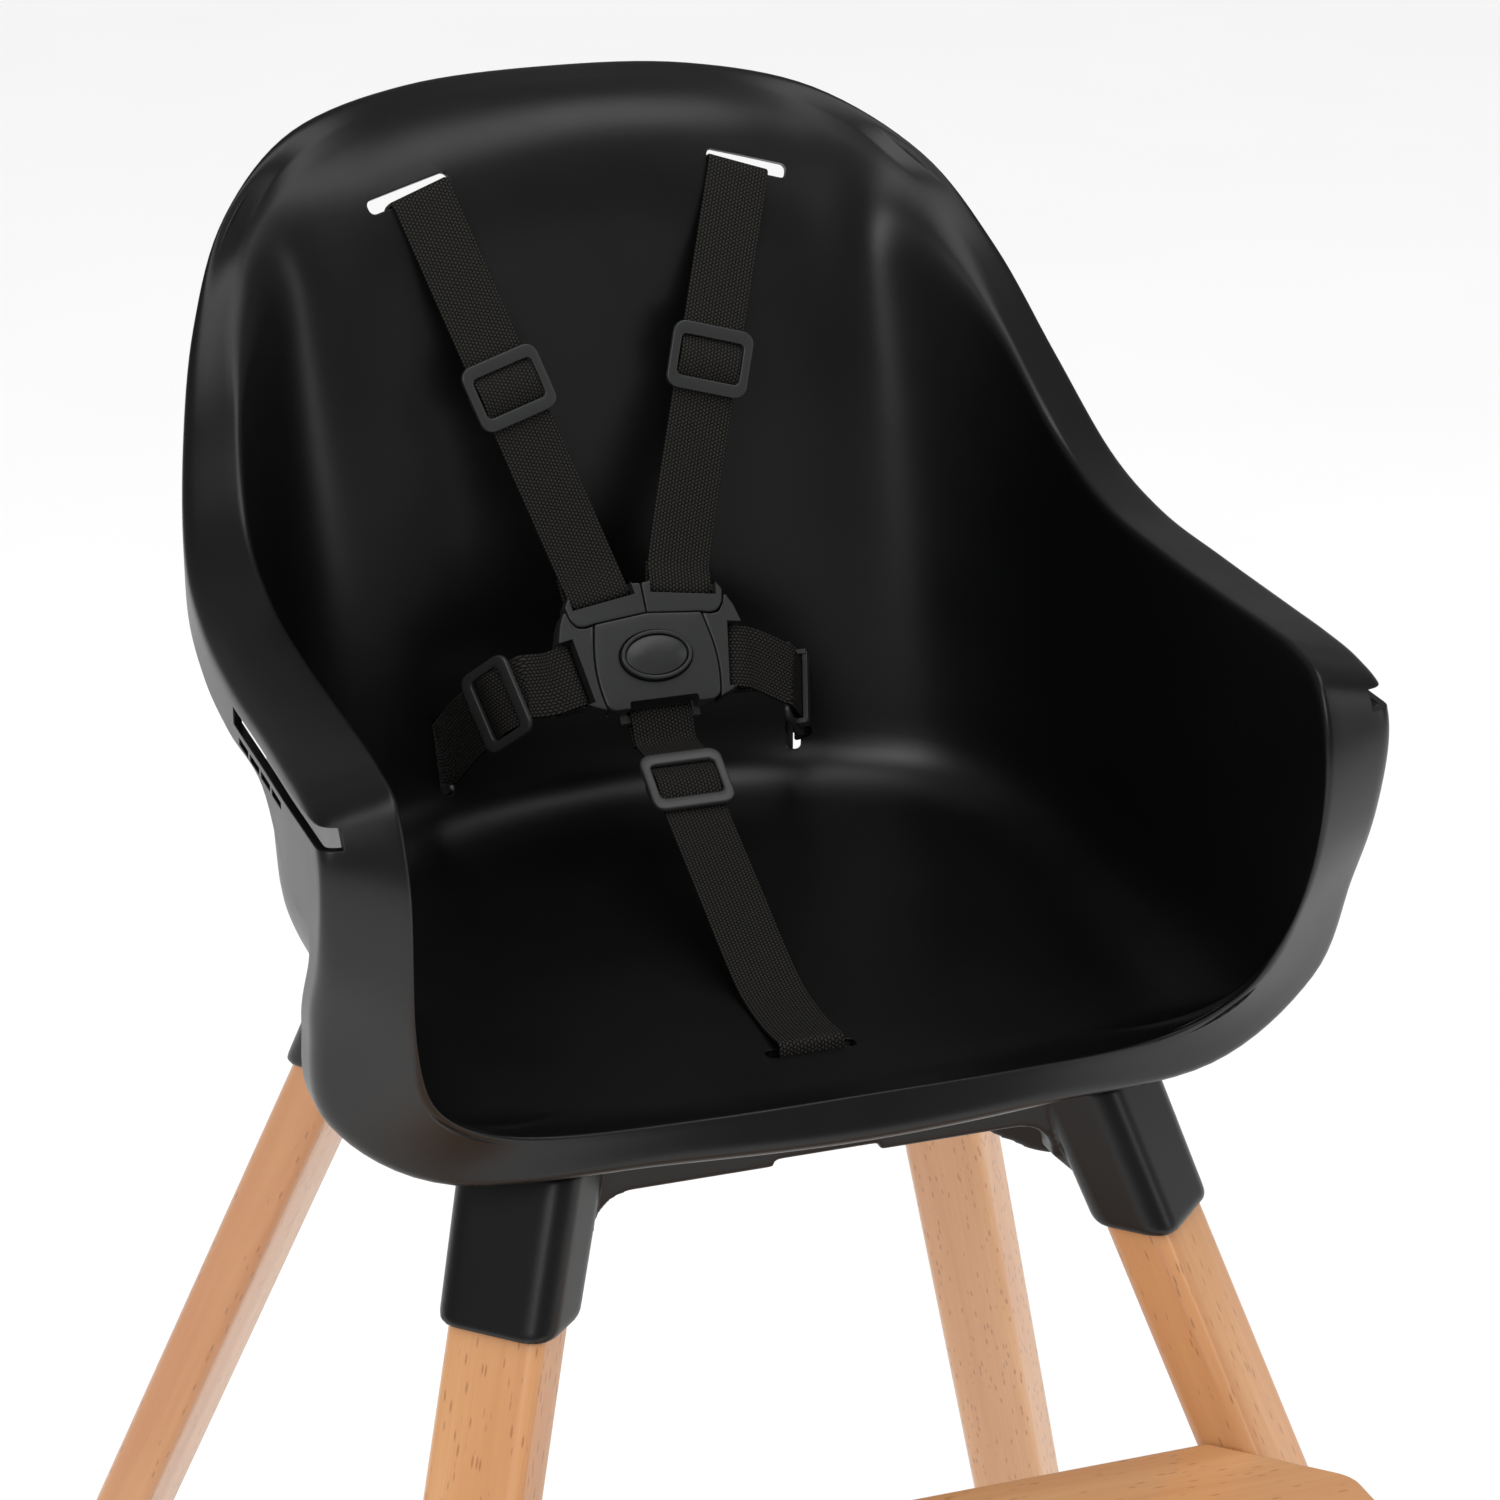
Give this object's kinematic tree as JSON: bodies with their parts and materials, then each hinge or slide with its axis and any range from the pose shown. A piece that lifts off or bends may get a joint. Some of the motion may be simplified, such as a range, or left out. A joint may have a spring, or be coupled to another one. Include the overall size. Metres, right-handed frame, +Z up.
{
  "type": "high chair",
  "caption": "Moulded bucket seat with arm rails on a four-socket base, with four splayed wooden legs, a cross-board footrest and a five-point webbing harness with a push-button buckle.",
  "frame": {"origin": "on the floor, under the middle of the chair's bounding box", "axes": "+Z up, -Y is where the chair faces, +X is the sitter's left"},
  "size_m": [0.58, 0.6494, 0.8427],
  "materials": {
    "black_plastic": "satin black polypropylene with a fine moulded texture",
    "buckle_plastic": "satin black acetal, slightly lighter than the seat",
    "webbing": "black woven polyester webbing",
    "beech": "clear lacquered steamed beech with short dark flecks",
    "rubber": "black rubber pad",
    "zinc_steel": "zinc plated steel fasteners",
    "brass": "brass threaded insert"
  },
  "bodies": {
    "chair": {"buckle_back_cover": "buckle_plastic", "buckle_front_cover": "buckle_plastic", "button_spring": "zinc_steel", "crotch_strap": "webbing", "crotch_strap_stop": "buckle_plastic", "footrest_barrel_nut_left": "zinc_steel", "footrest_barrel_nut_right": "zinc_steel", "footrest_board": "beech", "footrest_bolt_left": "zinc_steel", "footrest_bolt_right": "zinc_steel", "front_left_foot_pad": "rubber", "front_left_leg": "beech", "front_left_leg_bolt": "zinc_steel", "front_left_leg_insert": "brass", "front_right_foot_pad": "rubber", "front_right_leg": "beech", "front_right_leg_bolt": "zinc_steel", "front_right_leg_insert": "brass", "rear_left_foot_pad": "rubber", "rear_left_leg": "beech", "rear_left_leg_bolt": "zinc_steel", "rear_left_leg_insert": "brass", "rear_right_foot_pad": "rubber", "rear_right_leg": "beech", "rear_right_leg_bolt": "zinc_steel", "rear_right_leg_insert": "brass", "seat_base": "black_plastic", "seat_shell": "black_plastic", "shell_screw_1": "zinc_steel", "shell_screw_2": "zinc_steel", "shell_screw_3": "zinc_steel", "shell_screw_4": "zinc_steel", "shoulder_strap_left": "webbing", "shoulder_strap_right": "webbing", "shoulder_strap_stop_left": "buckle_plastic", "shoulder_strap_stop_right": "buckle_plastic", "waist_strap_left": "webbing", "waist_strap_right": "webbing", "waist_strap_stop_left": "buckle_plastic", "waist_strap_stop_right": "buckle_plastic"},
    "button": {"buckle_button": "buckle_plastic"},
    "left_tongue": {"buckle_tongue_left": "buckle_plastic", "shoulder_tab_left": "buckle_plastic"},
    "right_tongue": {"buckle_tongue_right": "buckle_plastic", "shoulder_tab_right": "buckle_plastic"},
    "shoulder_adjuster_left": {"shoulder_adjuster_left": "buckle_plastic"},
    "shoulder_adjuster_right": {"shoulder_adjuster_right": "buckle_plastic"},
    "waist_adjuster_left": {"waist_adjuster_left": "buckle_plastic"},
    "waist_adjuster_right": {"waist_adjuster_right": "buckle_plastic"},
    "crotch_adjuster": {"crotch_adjuster": "buckle_plastic"}
  },
  "joints": [
    {"name": "button_press", "type": "slide", "parent": "chair", "child": "button", "axis": [0, 0.809, -0.5878], "range_m": [0, 0.0025], "stiffness_N_per_m": 800, "deforming": ["button_spring"]},
    {"name": "left_tongue_release", "type": "slide", "parent": "chair", "child": "left_tongue", "axis": [1, 0, 0], "range_m": [0, 0.02], "deforming": ["shoulder_strap_left", "waist_strap_left"]},
    {"name": "right_tongue_release", "type": "slide", "parent": "chair", "child": "right_tongue", "axis": [-1, 0, 0], "range_m": [0, 0.02], "deforming": ["shoulder_strap_right", "waist_strap_right"]},
    {"name": "shoulder_adjuster_slide_left", "type": "slide", "parent": "left_tongue", "child": "shoulder_adjuster_left", "axis": [0.3136, 0.3598, 0.8787], "range_m": [-0.035, 0.012]},
    {"name": "shoulder_adjuster_slide_right", "type": "slide", "parent": "right_tongue", "child": "shoulder_adjuster_right", "axis": [-0.3136, 0.3598, 0.8787], "range_m": [-0.035, 0.012]},
    {"name": "waist_adjuster_slide_left", "type": "slide", "parent": "left_tongue", "child": "waist_adjuster_left", "axis": [0.4781, 0.6318, -0.6101], "range_m": [0, 0.006]},
    {"name": "waist_adjuster_slide_right", "type": "slide", "parent": "right_tongue", "child": "waist_adjuster_right", "axis": [-0.4781, 0.6318, -0.6101], "range_m": [0, 0.006]},
    {"name": "crotch_adjuster_slide", "type": "slide", "parent": "chair", "child": "crotch_adjuster", "axis": [0, -0.866, -0.5], "range_m": [-0.002, 0.004]}
  ]
}
